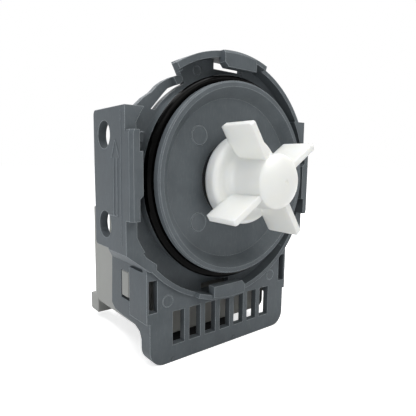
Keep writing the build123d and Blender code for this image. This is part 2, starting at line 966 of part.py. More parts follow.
def coil(side):
    """Enamelled winding between the flanges of one bobbin."""
    shape = fillet(leg_hole(side, tube_margin + coil_build).vertices(), coil_corner_r)
    low = coil_bottom_z + bobbin_wall
    high = bobbin_top_z - bobbin_wall
    return along_z(shape - leg_hole(side, tube_margin), low, high)


def thermal_cutout():
    """Flat protector that lies on the top flanges of the bobbins."""
    middle_y = (core_front + core_back) / 2
    shape = Pos(0, middle_y) * Rectangle(cutout_w, cutout_len)
    shape = fillet(shape.vertices(), cutout_round)
    return along_z(shape, bobbin_top_z, bobbin_top_z + cutout_t)


# Stator housing and rear cover


def body_outline(inset):
    """Rear view of the motor: a box for the coils with an arch over the rotor."""
    half_x = body_half_x - inset
    low = box_between(-half_x, body_bottom_z + inset, half_x, body_shoulder_z - inset)
    low = fillet(low.vertices(), body_corner_r - min(inset, 1.0))
    arch_r = body_arch_r - inset
    neck = box_between(-arch_r, body_shoulder_z - shoulder_overlap, arch_r, 0)
    return low + Circle(arch_r) + neck


def cover_screw_places():
    """Centres of the three screws in the rear cover."""
    low = [(side * cover_screw_low_x, cover_screw_low_z) for side in (-1, 1)]
    return low + [(0, cover_screw_top_z)]


def top_lug():
    """Round lug for the top cover screw."""
    return Pos(0, cover_screw_top_z) * Circle(cover_boss_r + top_lug_rim)


def latch_nose(side):
    """Catch on the side of the stator housing, in the window of the apron's side wall."""
    root = side * (body_half_x - body_wall / 2)
    tip = side * (apron_low_x - fit_clearance)
    front = latch_window_front + nose_gap
    back = latch_window_back - nose_gap
    plan = outline(
        [
            (root, front),
            (tip - side * nose_chamfer, front),
            (tip, front + nose_chamfer),
            (tip, back),
            (root, back),
        ]
    )
    return along_z(plan, latch_window_bottom + 1, latch_window_top - nose_gap)


def screw_ear(side):
    """Ear of the stator housing that a housing screw goes through."""
    place = Pos(side * ear_screw_x, ear_screw_z)
    root_r = body_arch_r - ear_web_root
    roots = []
    for angle in (ear_web_end, ear_web_start):
        roots.append((side * root_r * cos(radians(angle)), root_r * sin(radians(angle))))
    tips = [
        (side * ear_screw_x, ear_screw_z - ear_boss_r),
        (side * ear_screw_x, ear_screw_z + ear_boss_r),
    ]
    ear = place * Circle(ear_boss_r) + outline(roots + tips)
    ear -= Circle(body_arch_r - body_wall / 2)
    ear -= place * Circle(ear_screw_r + thread_bite)
    return along_y(ear, body_front, body_front + ear_plate_t)


def stator_housing():
    """Warm grey shell round the stator, open at the back."""
    boss_front = cover_front - screw_len - cover_boss_extra
    shell = along_y(body_outline(0), body_front, cover_front)
    shell -= along_y(body_outline(body_wall), body_front + body_wall, cover_front + 1)
    low_bosses = Sketch()
    for x, z in cover_screw_places()[:2]:
        low_bosses += Pos(x, z) * Circle(cover_boss_r)
    low_bosses = low_bosses & body_outline(body_wall / 2)
    shell += along_y(low_bosses, boss_front, cover_front - cover_lip_len)
    shell += along_y(top_lug() - Circle(body_arch_r - body_wall / 2), boss_front, cover_front)
    for side in (-1, 1):
        shell += screw_ear(side)
        shell += latch_nose(side)
    shell -= disc(can_r + fit_clearance, body_front - 1, body_front + body_wall + 1)
    for x, z in cover_screw_places():
        pilot = Pos(x, z) * Circle(cover_screw_r - thread_bite)
        shell -= along_y(pilot, cover_front - screw_len, cover_front + 1)
    half = terminal_w / 2 + terminal_slit_clearance
    for x in (terminal_left_x, terminal_right_x):
        slit = box_between(
            x - half,
            terminal_y - terminal_slit_clearance,
            x + half,
            terminal_y + terminal_t + terminal_slit_clearance,
        )
        shell -= along_z(slit, body_bottom_z - 1, body_bottom_z + body_wall + 1)
    return shell


def rear_cover():
    """Flat cover with a locating lip, two feet and two short posts."""
    cover = along_y(body_outline(0) + top_lug(), cover_front, cover_back)
    lip_inset = body_wall + fit_clearance
    lip = body_outline(lip_inset) - body_outline(lip_inset + cover_lip_t)
    for x, z in cover_screw_places():
        lip -= Pos(x, z) * Circle(cover_boss_r + fit_clearance)
    cover += along_y(lip, cover_front - cover_lip_len, cover_front)
    foot = box_between(foot_front, foot_bottom_z, foot_back, foot_top_z)
    foot = fillet(foot.vertices().sort_by(Axis.X)[-2:], foot_round)
    post = box_between(cover_front, body_shoulder_z - shoulder_overlap, cover_back, post_top_z)
    cover += along_x(foot, -body_half_x, -body_half_x + foot_w)
    cover += along_x(foot, body_half_x - foot_w, body_half_x)
    cover += along_x(post, -body_half_x, -body_half_x + post_w)
    cover += along_x(post, body_half_x - post_w, body_half_x)
    for x, z in cover_screw_places():
        hole = Pos(x, z) * Circle(cover_screw_r + thread_bite)
        cover -= along_y(hole, cover_front - cover_lip_len - 1, cover_back + 1)
    return cover


def pan_screw(x, z, seat, shank_r, head_r, length):
    """Pan-head screw that points to the front, with its head on y = seat."""
    shank = along_y(Pos(x, z) * Circle(shank_r), seat - length, seat + 0.2)
    head = along_y(Pos(x, z) * Circle(head_r), seat, seat + screw_head_t)
    return shank + chamfer(head.edges().sort_by(Axis.Y)[-1], screw_head_chamfer)


def housing_screws():
    """The two screws that hold the stator housing to the front housing."""
    seat = body_front + ear_plate_t
    shank_r = ear_screw_r - thread_bite
    screws = Part()
    for side in (-1, 1):
        screws += pan_screw(
            side * ear_screw_x, ear_screw_z, seat, shank_r, ear_screw_head_r, ear_screw_len
        )
    return screws


def cover_screws():
    """The three screws in the rear cover."""
    shank_r = cover_screw_r - thread_bite
    screws = Part()
    for x, z in cover_screw_places():
        screws += pan_screw(x, z, cover_back, shank_r, cover_screw_head_r, screw_len)
    return screws


def blade_plan(x, depth):
    """Plan of a blade terminal, from its upright leg to a given depth behind it."""
    return box_between(x - terminal_w / 2, terminal_y, x + terminal_w / 2, terminal_y + depth)


def terminal_block():
    """Black tray under the motor, open at the back for a flat plug."""
    tray = box_between(block_left, block_front, block_right, block_back)
    tray = along_z(fillet(tray.vertices(), block_corner_r), block_bottom_z, body_bottom_z)
    cavity = box_between(
        block_left + block_wall,
        terminal_y + block_bridge_t,
        block_right - block_wall,
        block_back + 1,
    )
    tray -= along_z(cavity, block_bottom_z + block_wall, body_bottom_z + 1)
    for x in (terminal_left_x, terminal_right_x):
        tray -= along_z(blade_plan(x, terminal_t), terminal_z, body_bottom_z + 1)
        tray -= along_z(blade_plan(x, terminal_foot_len), terminal_z, terminal_z + terminal_t)
    return tray


def terminals():
    """Two bent blade terminals, from the bobbins down through the housing and to the back."""
    reach = block_back - terminal_end_gap - terminal_y
    blades = Part()
    for x in (terminal_left_x, terminal_right_x):
        blades += along_z(blade_plan(x, terminal_t), terminal_z, coil_bottom_z)
        blades += along_z(blade_plan(x, reach), terminal_z, terminal_z + terminal_t)
    return blades


parts = {
    "front_housing": front_housing(),
    "o_ring": o_ring(),
    "bearing_carrier": bearing_carrier(),
    "front_bush": bush(front_bush_front),
    "front_bush_sleeve": bush_sleeve(front_bush_front),
    "rear_bush": bush(rear_bush_front),
    "rear_bush_sleeve": bush_sleeve(rear_bush_front),
    "rotor_shaft": rotor_shaft(),
    "rotor_core": rotor_core(),
    "rotor_magnet": rotor_magnet(),
    "thrust_washers": thrust_washers(),
    "drive_dog": drive_dog(),
    "impeller": impeller(),
    "impeller_cap": impeller_cap(),
    "clutch_dampers": clutch_dampers(),
    "stator_core": stator_core(),
    "core_rivets": core_rivets(),
    "bobbin_left": bobbin(-1),
    "bobbin_right": bobbin(1),
    "coil_left": coil(-1),
    "coil_right": coil(1),
    "thermal_cutout": thermal_cutout(),
    "stator_housing": stator_housing(),
    "housing_screws": housing_screws(),
    "rear_cover": rear_cover(),
    "cover_screws": cover_screws(),
    "terminal_block": terminal_block(),
    "terminals": terminals(),
}

os.makedirs("parts", exist_ok=True)
for name, shape in parts.items():
    export_step(shape, f"parts/{name}.step")
    print(name, len(shape.solids()), round(shape.volume))
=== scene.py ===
# %% [markdown]
# A dishwasher drain pump, seen from its front left. The CAD model already holds every solid piece,
# so this file adds what a solid can't say: the camera, the light, the finishes of the mouldings
# and the metals, and small surface details that are too fine to be machined into a solid.

import json
import math

import bmesh
import bpy
import numpy as np
from mathutils import Matrix, Vector


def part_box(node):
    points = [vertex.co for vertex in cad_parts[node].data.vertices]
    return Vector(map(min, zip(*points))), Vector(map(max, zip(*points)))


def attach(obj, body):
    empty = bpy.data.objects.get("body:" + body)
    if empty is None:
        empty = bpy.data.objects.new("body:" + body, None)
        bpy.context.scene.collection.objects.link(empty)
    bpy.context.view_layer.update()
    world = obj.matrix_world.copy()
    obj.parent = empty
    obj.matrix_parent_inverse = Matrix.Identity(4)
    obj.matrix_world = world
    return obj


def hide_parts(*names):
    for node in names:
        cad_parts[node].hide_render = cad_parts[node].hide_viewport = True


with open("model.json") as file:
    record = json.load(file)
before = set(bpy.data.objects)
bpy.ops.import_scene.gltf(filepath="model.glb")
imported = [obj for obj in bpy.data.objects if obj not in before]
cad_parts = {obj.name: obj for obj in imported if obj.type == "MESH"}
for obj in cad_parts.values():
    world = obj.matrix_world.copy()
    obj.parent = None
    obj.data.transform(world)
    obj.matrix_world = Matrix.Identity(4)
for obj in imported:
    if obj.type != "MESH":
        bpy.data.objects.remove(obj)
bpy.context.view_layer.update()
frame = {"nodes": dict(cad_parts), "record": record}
nodes = frame["nodes"]
MM = 0.001


def in_mm(corners):
    """The corners of a box in millimetres, rounded for printing."""
    return [[round(v / MM, 1) for v in corner] for corner in corners]


def linked(name, data):
    """A new object with its data, put into the scene."""
    thing = bpy.data.objects.new(name, data)
    bpy.context.collection.objects.link(thing)
    return thing


# %% [markdown]
# The camera comes first, because every later choice is judged through it. The place and the lens
# were solved from edges whose size and place are known: the round rim, the ears and the apron.
# The photograph was taken close up, about 137 mm from the rim, so its perspective is strong.

# %% Camera
PHOTO_SIDE_PX = 416
SENSOR_MM = 36.0
FOCAL_PX = 399.206
AZIMUTH, ELEVATION, ROLL = (math.radians(v) for v in (-38.6619, 6.9877, 0.7046))
RIM_FROM_CAMERA_MM = Vector((11.053, -9.802, 136.266))  # right, down and forward
CLIP_NEAR, CLIP_FAR = 0.01, 20.0


def camera_axes(azimuth, elevation, roll):
    """Right, up and backward axes of a camera. Backward points from the object to the camera:
    (sin a cos e, -cos a cos e, sin e). Right is square to it and to the vertical, and the roll
    turns right and up about it."""
    level = math.cos(elevation)
    back = Vector((math.sin(azimuth) * level, -math.cos(azimuth) * level, math.sin(elevation)))
    right = (-back).cross(Vector((0, 0, 1))).normalized()
    up = right.cross(-back)
    rolled_right = math.cos(roll) * right + math.sin(roll) * up
    rolled_up = math.cos(roll) * up - math.sin(roll) * right
    return rolled_right, rolled_up, back


right, up, back = camera_axes(AZIMUTH, ELEVATION, ROLL)
x, y, z = RIM_FROM_CAMERA_MM * MM
camera_place = -(right * x - up * y - back * z)
camera = linked("camera", bpy.data.cameras.new("camera"))
axes = Matrix((right, up, back)).transposed().to_4x4()
camera.matrix_world = Matrix.Translation(camera_place) @ axes
camera.data.sensor_width = SENSOR_MM
camera.data.lens = FOCAL_PX * SENSOR_MM / PHOTO_SIDE_PX
camera.data.clip_start = CLIP_NEAR
camera.data.clip_end = CLIP_FAR
bpy.context.scene.camera = camera
print("camera at mm", in_mm([camera_place])[0], "lens", round(camera.data.lens, 2))

# %% [markdown]
# A few helpers serve every finish. One turns a colour from its familiar sRGB hex form to the
# linear numbers that the renderer adds up. One puts a node into a material with its settings and
# links, so that a finish reads as a short list. The others mix two colours, stretch a range of
# values and make noise of a given size.

# %% Helpers for materials
MIDDLE = (0.3, 0.7)  # nearly all of a noise lies between these values


def linear(hex_colour):
    """Linear red, green, blue and alpha of an sRGB hex colour. Each channel c is c / 12.92 near
    black, and ((c + 0.055) / 1.055) ** 2.4 elsewhere."""
    channels = [int(hex_colour[i : i + 2], 16) / 255 for i in (1, 3, 5)]
    return [c / 12.92 if c <= 0.04045 else ((c + 0.055) / 1.055) ** 2.4 for c in channels] + [1.0]


def add(tree, kind, inputs=None, **settings):
    """One node of a kind. A value in inputs that is a socket is linked, and any other is set."""
    node = tree.nodes.new("ShaderNode" + kind)
    for key, value in settings.items():
        setattr(node, key, value)
    for key, value in (inputs or {}).items():
        if isinstance(value, bpy.types.NodeSocket):
            tree.links.new(value, node.inputs[key])
        else:
            node.inputs[key].default_value = value
    return node


def new_material(name):
    """An empty material, its tree, and the object coordinates that its patterns read."""
    material = bpy.data.materials.new(name)
    material.use_nodes = True
    material.node_tree.nodes.clear()
    tree = material.node_tree
    return material, tree, add(tree, "TexCoord").outputs["Object"]


def mix(tree, amount, low, high):
    """Colour between two, by an amount from zero to one. A string is an sRGB hex colour."""
    sides = [linear(c) if isinstance(c, str) else c for c in (low, high)]
    inputs = {"Factor": amount, "A": sides[0], "B": sides[1]}
    return add(tree, "Mix", inputs, data_type="RGBA").outputs["Result"]


def spread(tree, value, low, high, to_low=0.0, to_high=1.0):
    """A value whose range from low to high becomes the range from to_low to to_high."""
    span = {"Value": value, "From Min": low, "From Max": high, "To Min": to_low, "To Max": to_high}
    return add(tree, "MapRange", span).outputs[0]


def noise(tree, place, size_mm, stretch=(1.0, 1.0, 1.0), detail=2.0):
    """Noise with features of size_mm, drawn out along an axis whose stretch is under one."""
    pulled = add(tree, "VectorMath", {0: place, 1: stretch}, operation="MULTIPLY").outputs[0]
    inputs = {"Vector": pulled, "Scale": 1 / (size_mm * MM), "Detail": detail}
    return add(tree, "TexNoise", inputs).outputs[0]


print("helpers ready, mid grey is", round(linear("#808080")[0], 3))

# %% [markdown]
# The stage is plain: a pale floor and an even white world. The camera and the reflections see the
# world as white through Light Path, while it lights the object only faintly, because the recesses
# of the real pump are dark. Soft lamps above, behind, in front and on the left do the rest, as in
# a photographer's tent, and a long narrow strip adds a line of light from the front.

# %% World and lamps
WORLD_FILL = 0.1
WHITE = "#ffffff"
PANEL_M, STRIP_M = (0.6, 0.6), (1.3, 0.03)
# Each lamp's name, place in metres, width and height, power in watts, and colour.
LAMPS = [
    ("top_lamp", (0.0, 0.0, 0.85), PANEL_M, 5.6, WHITE),
    ("front_top_lamp", (0.0, -0.6, 0.6), PANEL_M, 2.3, "#fffdf8"),
    ("left_lamp", (-0.84, -0.12, 0.1), PANEL_M, 2.3, "#f6faff"),
    ("back_top_lamp", (0.0, 0.6, 0.6), PANEL_M, 3.0, WHITE),
    ("highlight_strip", (0.0, -0.55, 0.6), STRIP_M, 1.5, WHITE),
]


def area_light(name, place, size, power, colour):
    """A soft rectangular lamp at a place in metres, turned to face the middle of the pump."""
    light = linked(name, bpy.data.lights.new(name, "AREA"))
    light.data.shape = "RECTANGLE"
    light.data.size, light.data.size_y = size
    light.data.energy = power
    light.data.color = linear(colour)[:3]
    light.location = place
    light.rotation_euler = (-Vector(place)).to_track_quat("-Z", "Y").to_euler()


def rays_of(tree, *kinds):
    """One for a ray of any of these kinds, and zero for every other: their flags added up, and
    kept from passing one."""
    flags = add(tree, "LightPath").outputs
    total = flags[kinds[0]]
    for kind in kinds[1:]:
        both = {0: total, 1: flags[kind]}
        total = add(tree, "Math", both, operation="ADD", use_clamp=True).outputs[0]
    return total


world = bpy.data.worlds.new("studio")
bpy.context.scene.world = world
world.use_nodes = True
tree = world.node_tree
tree.nodes.clear()
seen = rays_of(tree, "Is Camera Ray", "Is Glossy Ray", "Is Transmission Ray")
fill = add(tree, "Background", {"Color": linear(WHITE), "Strength": WORLD_FILL})
white = add(tree, "Background", {"Color": linear(WHITE), "Strength": 1.0})
backdrop = add(tree, "MixShader", {0: seen, 1: fill.outputs[0], 2: white.outputs[0]})
add(tree, "OutputWorld", {"Surface": backdrop.outputs[0]})
for lamp in LAMPS:
    area_light(*lamp)
bpy.context.scene.view_settings.view_transform = "Standard"
print("lamps", len(LAMPS), "world fill", WORLD_FILL)

# %% [markdown]
# The floor is white card. To the camera and in reflections it glows by just enough to look as
# white as the backdrop, and because the glow is added to its own shading, it keeps the shadow.
# The lamps don't reach far, so the glow grows with the distance from the pump.

# %% Floor
FLOOR_Z = -61.3 * MM
FLOOR_HALF = 3.0
SQUARE = ((-1, -1), (1, -1), (1, 1), (-1, 1))
CARD_FIBRE_MM = 1.5
CARD_LOW, CARD_HIGH = 0.78, 0.82
GLOW_NEAR, GLOW_FAR = 0.7, 1.0
GLOW_FROM, GLOW_TO = 0.12, 0.5
floor_mesh = bpy.data.meshes.new("floor")
corners = [(i * FLOOR_HALF, j * FLOOR_HALF, FLOOR_Z) for i, j in SQUARE]
floor_mesh.from_pydata(corners, [], [(0, 1, 2, 3)])
floor = linked("floor", floor_mesh)
card, tree, place = new_material("white_card")
tone = spread(tree, noise(tree, place, CARD_FIBRE_MM), 0.0, 1.0, CARD_LOW, CARD_HIGH)
paper = add(tree, "BsdfDiffuse", {"Color": tone})
away = add(tree, "VectorMath", {0: place}, operation="LENGTH").outputs["Value"]
strength = spread(tree, away, GLOW_FROM, GLOW_TO, GLOW_NEAR, GLOW_FAR)
glow = add(tree, "Emission", {"Strength": strength})
lit = add(tree, "AddShader", {0: paper.outputs[0], 1: glow.outputs[0]})
seen = rays_of(tree, "Is Camera Ray", "Is Glossy Ray")
mixed = add(tree, "MixShader", {0: seen, 1: paper.outputs[0], 2: lit.outputs[0]})
add(tree, "OutputMaterial", {"Surface": mixed.outputs[0]})
floor_mesh.materials.append(card)
print("floor at mm", FLOOR_Z / MM)

# %% [markdown]
# Every finish ends in the same way. A Bevel node rounds the shading at the edges, because no real
# edge is quite sharp, and a Bump node tilts it by the finish's own relief. Where the rounded
# normal leaves the true one and the place is open, a finish can take a paler edge colour. On the
# mouldings this is a painted highlight. On the tinned blades it is real wear down to the brass.

# %% How a finish ends
BEVEL_SAMPLES = 6
BEND_FROM, BEND_TO = 0.99, 0.87  # dot products of the true and the rounded normal
OPEN_MM = 1.2
OPEN_FROM, OPEN_TO = 0.7, 0.95  # shares of the sky that a place can see


def edge_mask(tree, edge_mm, amount):
    """Zero on flat ground, up to amount on an outer edge: how far the dot product of the true and
    the rounded normal falls below one, times how open the place is. An inner corner isn't open,
    so the mask stays at zero there."""
    rounded = add(tree, "Bevel", {"Radius": edge_mm * MM}, samples=BEVEL_SAMPLES)
    true_normal = add(tree, "NewGeometry").outputs["Normal"]
    dot = add(tree, "VectorMath", {0: true_normal, 1: rounded.outputs[0]}, operation="DOT_PRODUCT")
    bent = spread(tree, dot.outputs["Value"], BEND_FROM, BEND_TO, 0.0, amount)
    reach = {"Distance": OPEN_MM * MM}
    sky = add(tree, "AmbientOcclusion", reach, samples=BEVEL_SAMPLES).outputs["AO"]
    open_place = spread(tree, sky, OPEN_FROM, OPEN_TO)
    return add(tree, "Math", {0: bent, 1: open_place}, operation="MULTIPLY").outputs[0]


def shade(tree, colour, gloss, height, depth_mm, edge_mm, **constants):
    """Ends a material. The normal is rounded within edge_mm of an edge, then tilted by a height of
    which one unit is depth_mm. The constants go on the shader's own sockets."""
    rounded = add(tree, "Bevel", {"Radius": edge_mm * MM}, samples=BEVEL_SAMPLES).outputs[0]
    relief = {"Height": height, "Strength": 1.0, "Distance": depth_mm * MM, "Normal": rounded}
    normal = add(tree, "Bump", relief).outputs[0]
    inputs = {"Base Color": colour, "Roughness": gloss, "Normal": normal}
    inputs.update({key.replace("_", " "): value for key, value in constants.items()})
    shader = add(tree, "BsdfPrincipled", inputs)
    add(tree, "OutputMaterial", {"Surface": shader.outputs[0]})


print("open places are judged within mm", OPEN_MM)

# %% [markdown]
# Most of the pump is injection moulded. Such a surface copies the spark-eroded grain of the tool,
# and its gloss drifts where the melt cooled at different speeds. Its outer edges are drawn a little
# paler, a painted highlight for the light that rounded edges catch. Glass-filled plastic also
# shows short pale fibre ends.

# %% Moulded plastics
GRAIN_MM = 0.4  # the real grain is about 0.1 mm, drawn coarser so that it shows
GRAIN_DEPTH_MM = 0.016
FLOW_MM = 9.0
FLOW_RANGE, FLOW_SHARE = (0.35, 0.65), 0.3
FIBRE_MM = 0.6
FIBRE_STRETCH = (1.0, 1.0, 0.35)
FIBRE_RANGE = (0.5, 0.75)
GLOSS_LOW, GLOSS_HIGH = 0.87, 1.13
EDGE_MM = 0.36


def moulded(
    name, colours, roughness, painted_edge_highlight=0.5, fibres=0.0, edge_mm=EDGE_MM, **constants
):
    """Moulded plastic of three colours: base, pale and edge. The colour goes from base to pale by
    slow noise, the flow of the melt, and by the bright cells of a fine noise, the fibre ends, and
    then to edge by the edge mask, a painted highlight on outer edges. The roughness drifts with
    the flow, and the height is the grain."""
    base, pale, edge = colours
    material, tree, place = new_material(name)
    flow = noise(tree, place, FLOW_MM, detail=3.0)
    grain = noise(tree, place, GRAIN_MM)
    ends = noise(tree, place, FIBRE_MM, FIBRE_STRETCH, 1.0)
    flow_part = spread(tree, flow, *FLOW_RANGE, 0.0, FLOW_SHARE)
    fibre_part = spread(tree, ends, *FIBRE_RANGE, 0.0, fibres)
    amount = add(tree, "Math", {0: flow_part, 1: fibre_part}, operation="ADD").outputs[0]
    # Outer edges go to the edge colour, a painted highlight.
    colour = mix(tree, edge_mask(tree, edge_mm, painted_edge_highlight), mix(tree, amount, base, pale), edge)
    gloss = spread(tree, flow, *MIDDLE, GLOSS_LOW * roughness, GLOSS_HIGH * roughness)
    shade(tree, colour, gloss, grain, GRAIN_DEPTH_MM, edge_mm, **constants)
    return material


# In each moulding below, the third colour is the painted highlight on outer edges.
# Glass-filled polypropylene, satin: the fibres near the skin scatter its highlights.
housing_grey = moulded(
    "glass_filled_polypropylene",
    colours=("#565c60", "#71777c", "#aab0b5"),
    roughness=0.55,
    painted_edge_highlight=0.9,
    fibres=0.16,
    Specular_IOR_Level=0.15,
)
# Unfilled warm grey polypropylene, a little waxy.
body_grey = moulded(
    "polypropylene_warm_grey",
    colours=("#9a9b98", "#a9aaa6", "#c0c0bc"),
    roughness=0.55,
    Specular_IOR_Level=0.2,
)
# Acetal is dense and white, and lets light in by a few millimetres, so its shadows are soft. Its
# edges are rounder than those of the housing, because the vanes are thick and shrink as they cool.
acetal = moulded(
    "acetal_white",
    colours=("#edeeeb", "#f1f2ef", "#f5f6f4"),
    roughness=0.32,
    edge_mm=0.7,
    Specular_IOR_Level=0.4,
    Subsurface_Weight=0.8,
    Subsurface_Radius=(1.0, 0.95, 0.85),
    Subsurface_Scale=3.0 * MM,
)
# Black and dark polyamide, as in connector blocks, bobbins and the bearing carrier.
polyamide_black = moulded(
    "polyamide_black",
    colours=("#0b0c0d", "#1c1e20", "#3a3c3e"),
    roughness=0.42,
    Specular_IOR_Level=0.25,
)
polyamide_dark = moulded(
    "glass_filled_polyamide_dark",
    colours=("#25272a", "#3c3f42", "#5c6064"),
    roughness=0.45,
    fibres=0.3,
    Specular_IOR_Level=0.35,
)
# The thrust washers are cut from a slippery ivory plastic.
ptfe_ivory = moulded(
    "ptfe_ivory",
    colours=("#d9d4c4", "#eae6da", "#f2f0e8"),
    roughness=0.4,
    Specular_IOR_Level=0.35,
)
plastics = (housing_grey, body_grey, acetal, polyamide_black, polyamide_dark, ptfe_ivory)
print("plastics made", [material.name for material in plastics])

# %% [markdown]
# The metals come next. Each keeps the default index of refraction, is fully metallic, and differs
# by how its surface was made: ground bars carry fine lines round their axis, zinc plating is
# dull and slightly blue, punched sheet shows every layer of the stack, and a sintered bush has
# open pores that hold its oil. Two of them need just one pattern, as some later finishes do, so
# one function makes those.

# %% Metals with one pattern
LINE_MM = 0.25  # grinding lines are about 0.02 mm apart, drawn coarser so that they show


def patterned(
    name,
    size_mm,
    colours,
    gloss,
    depth_mm,
    edge_mm,
    stretch=(1.0, 1.0, 1.0),
    detail=2.0,
    tone=MIDDLE,
    drift=MIDDLE,
    **constants,
):
    """A finish with one noise of size_mm. The colour goes from the first to the second while the
    noise goes through the range tone, and the roughness goes through gloss while it goes through
    the range drift. The height is the noise itself."""
    material, tree, place = new_material(name)
    pattern = noise(tree, place, size_mm, stretch, detail)
    colour = mix(tree, spread(tree, pattern, *tone), *colours)
    roughness = spread(tree, pattern, *drift, *gloss)
    shade(tree, colour, roughness, pattern, depth_mm, edge_mm, **constants)
    return material


# Ground steel: bright lines square to the axis, so the pattern only changes fast along Y.
ground_steel = patterned(
    "steel_ground",
    size_mm=LINE_MM,
    colours=("#a9abad", "#c9cacb"),
    gloss=(0.2, 0.34),
    depth_mm=0.004,
    edge_mm=0.15,
    stretch=(0.02, 1.0, 0.02),
    Metallic=1.0,
)

# Enamelled copper wire: bright copper under a clear amber coat.
enamelled_copper = patterned(
    "copper_enamelled",
    size_mm=0.8,
    colours=("#8e4a22", "#b9683a"),
    gloss=(0.3, 0.42),
    depth_mm=0.01,
    edge_mm=0.05,
    stretch=(0.05, 0.05, 1.0),
    Metallic=1.0,
    Coat_Weight=1.0,
    Coat_Roughness=0.12,
    Coat_Tint=linear("#f0c070"),
)
print("metals made", [material.name for material in (ground_steel, enamelled_copper)])

# %% [markdown]
# The other four metals mix patterns: a film and pits in the zinc, layers and stains in the stack
# of sheets, a cell pattern for the bush's pores, and brass that shows at the worn edges of the
# tin.

# %% Metals with more patterns
FILM_MM, FILM_RANGE, PIT_MM = 1.6, (0.35, 0.65), 0.3
SHEET_MM, STAIN_MM = 0.5, 4.0
PORE_MM = 0.3  # pores are about 0.05 mm across, drawn coarser so that they show
SMEAR_MM, WORN_MM = 0.5, 0.15

# Zinc plating on screws: blue-white and dull, and a little yellower where its film is thicker.
zinc_steel, tree, place = new_material("steel_zinc_plated")
film = noise(tree, place, FILM_MM)
pits = noise(tree, place, PIT_MM, detail=3.0)
colour = mix(tree, spread(tree, film, *FILM_RANGE), "#b4bac2", "#cdcabb")
gloss = spread(tree, pits, *MIDDLE, 0.28, 0.45)
shade(tree, colour, gloss, pits, depth_mm=0.01, edge_mm=0.12, Metallic=1.0)

# Electrical steel: each sheet is 0.5 mm thick, with a dark line of insulation between the sheets.
sheet_steel, tree, place = new_material("electrical_steel_laminations")
along_y = add(tree, "SeparateXYZ", {"Vector": place}).outputs["Y"]
count = add(tree, "Math", {0: along_y, 1: SHEET_MM * MM}, operation="DIVIDE").outputs[0]
layer = add(tree, "Math", {0: count, 1: 1.0}, operation="PINGPONG").outputs[0]
stain = noise(tree, place, STAIN_MM)
sheet = spread(tree, layer, 0.04, 0.2)
tone = add(tree, "Math", {0: sheet, 1: stain}, operation="MULTIPLY").outputs[0]
colour = mix(tree, spread(tree, tone, 0.0, 0.6), "#3a3c3e", "#8b8f93")
gloss = spread(tree, stain, *MIDDLE, 0.4, 0.55)
shade(tree, colour, gloss, sheet, depth_mm=0.03, edge_mm=0.1, Metallic=1.0)

# Sintered bronze: a cloudy brown metal, oily, with round pores from a cell pattern.
sintered_bronze, tree, place = new_material("bronze_sintered_oiled")
cells = add(tree, "TexVoronoi", {"Vector": place, "Scale": 1 / (PORE_MM * MM)}).outputs["Distance"]
metal = spread(tree, cells, 0.12, 0.3)
colour = mix(tree, metal, "#4c3a22", "#a5804d")
gloss = spread(tree, metal, 0.0, 1.0, 0.6, 0.33)
shade(tree, colour, gloss, metal, depth_mm=0.03, edge_mm=0.15, Metallic=1.0)

# Tin plating on brass blades: soft and pale, with brass showing on the punched edges.
tinned_brass, tree, place = new_material("brass_tin_plated")
smear = noise(tree, place, SMEAR_MM, (1.0, 0.15, 1.0))
tin = mix(tree, spread(tree, smear, *MIDDLE), "#c2c3c1", "#d6d6d3")
colour = mix(tree, edge_mask(tree, WORN_MM, 1.0), tin, "#bfa468")
gloss = spread(tree, smear, *MIDDLE, 0.24, 0.4)
shade(tree, colour, gloss, smear, depth_mm=0.006, edge_mm=0.1, Metallic=1.0)
metals = (zinc_steel, sheet_steel, sintered_bronze, tinned_brass)
print("metals made", [material.name for material in metals])

# %% [markdown]
# Four finishes are neither moulded plastic nor metal: the ground ferrite of the magnet, the
# pressed phenolic case of the thermal cut-out, the dull rubber of the bush sleeves and dampers,
# and the sealing ring. The ring is wet with grease and almost black, with soft faint lights.

# %% Ferrite, phenolic and rubber
ferrite = patterned(
    "ferrite_ground",
    size_mm=0.4,
    colours=("#232427", "#3b3c40"),
    gloss=(0.38, 0.55),
    depth_mm=0.01,
    edge_mm=0.15,
    stretch=(1.0, 0.3, 1.0),
    detail=3.0,
)
phenolic = patterned(
    "phenolic_pressed_dark",
    size_mm=0.6,
    colours=("#1b1512", "#3a2c22"),
    gloss=(0.3, 0.4),
    depth_mm=0.008,
    edge_mm=0.2,
    detail=3.0,
    tone=(0.35, 0.7),
    Specular_IOR_Level=0.4,
)
dull_rubber = patterned(
    "nitrile_rubber_dull",
    size_mm=1.2,
    colours=("#0d0d0d", "#262626"),
    gloss=(0.6, 0.8),
    depth_mm=0.02,
    edge_mm=0.2,
    detail=3.0,
    tone=(0.4, 0.7),
    Specular_IOR_Level=0.25,
)
greased_rubber = patterned(
    "nitrile_rubber_greased",
    size_mm=3.0,
    colours=("#010101", "#050505"),
    gloss=(0.1, 0.18),
    depth_mm=0.02,
    edge_mm=0.02,
    detail=3.0,
    tone=(0.4, 0.7),
    drift=(0.35, 0.65),
    Specular_IOR_Level=0.04,
)
others = (ferrite, phenolic, dull_rubber, greased_rubber)
print("other finishes made", [material.name for material in others])

# %% [markdown]
# Every node of the CAD model belongs to a slot, such as the grey of the housing. The table gives
# each slot its finish, and the nodes take theirs from it.

# %% Give every CAD node a finish
finishes = {
    "housing_grey": housing_grey,
    "o_ring_rubber": greased_rubber,
    "carrier_plastic": polyamide_dark,
    "bush_bronze": sintered_bronze,
    "sleeve_rubber": dull_rubber,
    "shaft_steel": ground_steel,
    "rotor_plastic": polyamide_black,
    "magnet_ferrite": ferrite,
    "washer_plastic": ptfe_ivory,
    "impeller_plastic": acetal,
    "lamination_steel": sheet_steel,
    "bobbin_plastic": polyamide_black,
    "coil_copper": enamelled_copper,
    "cutout_case": phenolic,
    "body_plastic": body_grey,
    "screw_steel": zinc_steel,
    "terminal_plastic": polyamide_black,
    "terminal_tin": tinned_brass,
}
for part in frame["record"]["subparts"]:
    for slot_place in nodes[part["node"]].material_slots:
        slot_place.material = finishes[part["material_slot"]]
print("finished nodes", len(nodes), "slots", len(finishes))

